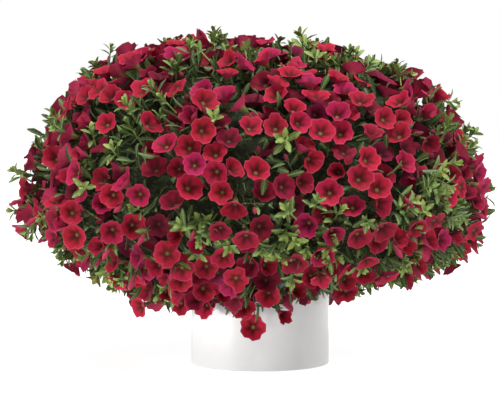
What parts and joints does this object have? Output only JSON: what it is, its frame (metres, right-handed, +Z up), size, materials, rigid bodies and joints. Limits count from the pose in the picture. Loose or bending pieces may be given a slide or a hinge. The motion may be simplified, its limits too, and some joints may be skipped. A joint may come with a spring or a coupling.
{
  "type": "potted calibrachoa",
  "caption": "Mound of leafy sprays with crimson trumpet blooms, growing in soil in a plain white cylinder pot.",
  "frame": {"origin": "middle of the pot's underside, on the surface that the pot stands on", "axes": "+Z up along the pot's axis, -Y towards the front of the plant, +X to its right seen from the front"},
  "size_m": [0.5298, 0.4893, 0.3634],
  "materials": {
    "pot": "satin",
    "soil": "matte",
    "blooming_spray": "matte",
    "foliage": "matte"
  },
  "bodies": {
    "root": {"pot": "pot", "potting_soil": "soil", "spray_crown": "blooming_spray", "spray_upper_01": "blooming_spray", "spray_upper_02": "blooming_spray", "spray_upper_03": "blooming_spray", "spray_upper_04": "blooming_spray", "spray_upper_05": "blooming_spray", "spray_middle_01": "blooming_spray", "spray_middle_02": "blooming_spray", "spray_middle_03": "blooming_spray", "spray_middle_04": "blooming_spray", "spray_middle_05": "blooming_spray", "spray_middle_06": "blooming_spray", "spray_middle_07": "blooming_spray", "spray_middle_08": "blooming_spray", "spray_outer_01": "blooming_spray", "spray_outer_02": "blooming_spray", "spray_outer_03": "blooming_spray", "spray_outer_04": "blooming_spray", "spray_outer_05": "blooming_spray", "spray_outer_06": "blooming_spray", "spray_outer_07": "blooming_spray", "spray_outer_08": "blooming_spray", "spray_outer_09": "blooming_spray", "spray_trailing_01": "blooming_spray", "spray_trailing_02": "blooming_spray", "spray_trailing_03": "blooming_spray", "spray_trailing_04": "blooming_spray", "spray_trailing_05": "blooming_spray", "spray_trailing_06": "blooming_spray"}
  },
  "joints": []
}
